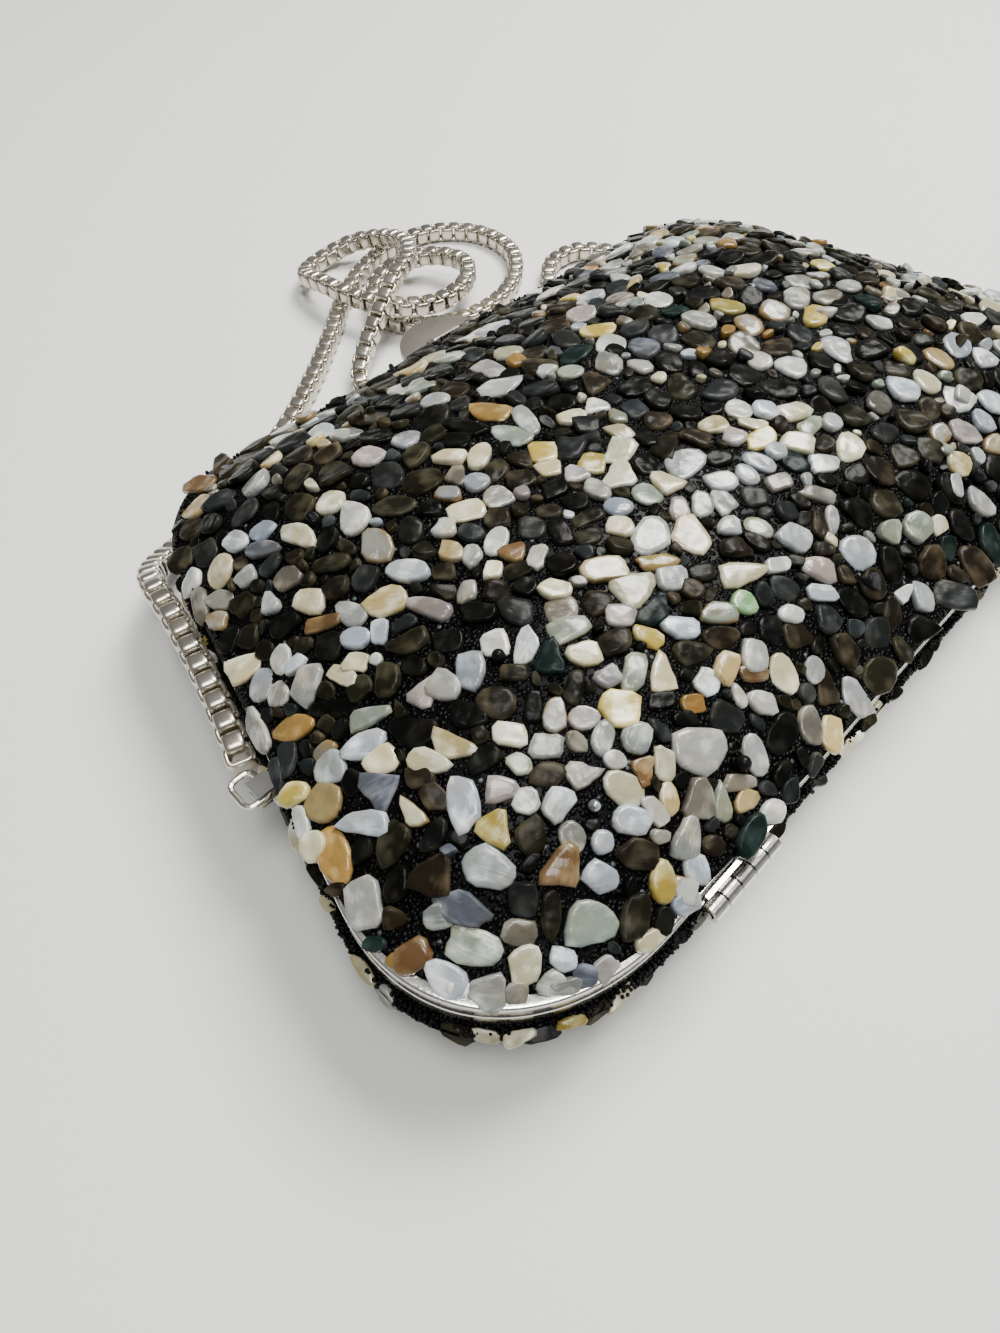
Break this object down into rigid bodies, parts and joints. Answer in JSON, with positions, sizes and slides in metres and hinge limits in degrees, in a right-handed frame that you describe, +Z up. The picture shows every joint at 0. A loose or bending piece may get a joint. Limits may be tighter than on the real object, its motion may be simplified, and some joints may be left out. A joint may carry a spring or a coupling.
{
  "type": "minaudiere",
  "caption": "Hard evening bag of two domed halves on polished frames, hinged along one long side, with a round-tongued clasp, a shell-chip and bead cover and a box chain.",
  "frame": {"origin": "middle of the flat patch on the back half that the bag lies on", "axes": "+X along the long sides, +Y towards the opening side with the clasp, +Z up, out of the front half"},
  "size_m": [0.2018, 0.1998, 0.04],
  "materials": {
    "polished_nickel": "polished",
    "pressed_brass": "satin",
    "shell_chip_cover": "glossy shell chips and glass beads on black cloth",
    "black_satin": "satin",
    "spring_steel": "plain",
    "chain_nickel": "polished"
  },
  "bodies": {
    "back_half": {"back_frame": "polished_nickel", "back_cover": "shell_chip_cover", "back_shell": "pressed_brass", "back_lining": "black_satin", "hinge_left_back_leaf": "polished_nickel", "hinge_left_pin": "polished_nickel", "hinge_right_back_leaf": "polished_nickel", "hinge_right_pin": "polished_nickel", "clasp_keeper": "polished_nickel", "chain_eye_left": "polished_nickel", "chain_eye_right": "polished_nickel", "chain_ring_left": "chain_nickel", "chain_ring_right": "chain_nickel", "chain": "chain_nickel"},
    "front_half": {"front_frame": "polished_nickel", "front_cover": "shell_chip_cover", "front_shell": "pressed_brass", "front_lining": "black_satin", "hinge_left_front_leaf": "polished_nickel", "hinge_right_front_leaf": "polished_nickel", "clasp_bracket": "polished_nickel", "clasp_pin": "polished_nickel", "clasp_spring": "spring_steel"},
    "clasp": {"clasp_lever": "polished_nickel"}
  },
  "joints": [
    {"name": "lid_hinge", "type": "hinge", "parent": "back_half", "child": "front_half", "pos_m": [0, -0.0589, 0.02], "axis": [1, 0, 0], "range_deg": [0, 100]},
    {"name": "clasp_tilt", "type": "hinge", "parent": "front_half", "child": "clasp", "pos_m": [0, 0.0596, 0.0221], "axis": [1, 0, 0], "range_deg": [0, 20], "stiffness_Nm_per_rad": 0.004, "springref_deg": -20.05}
  ]
}
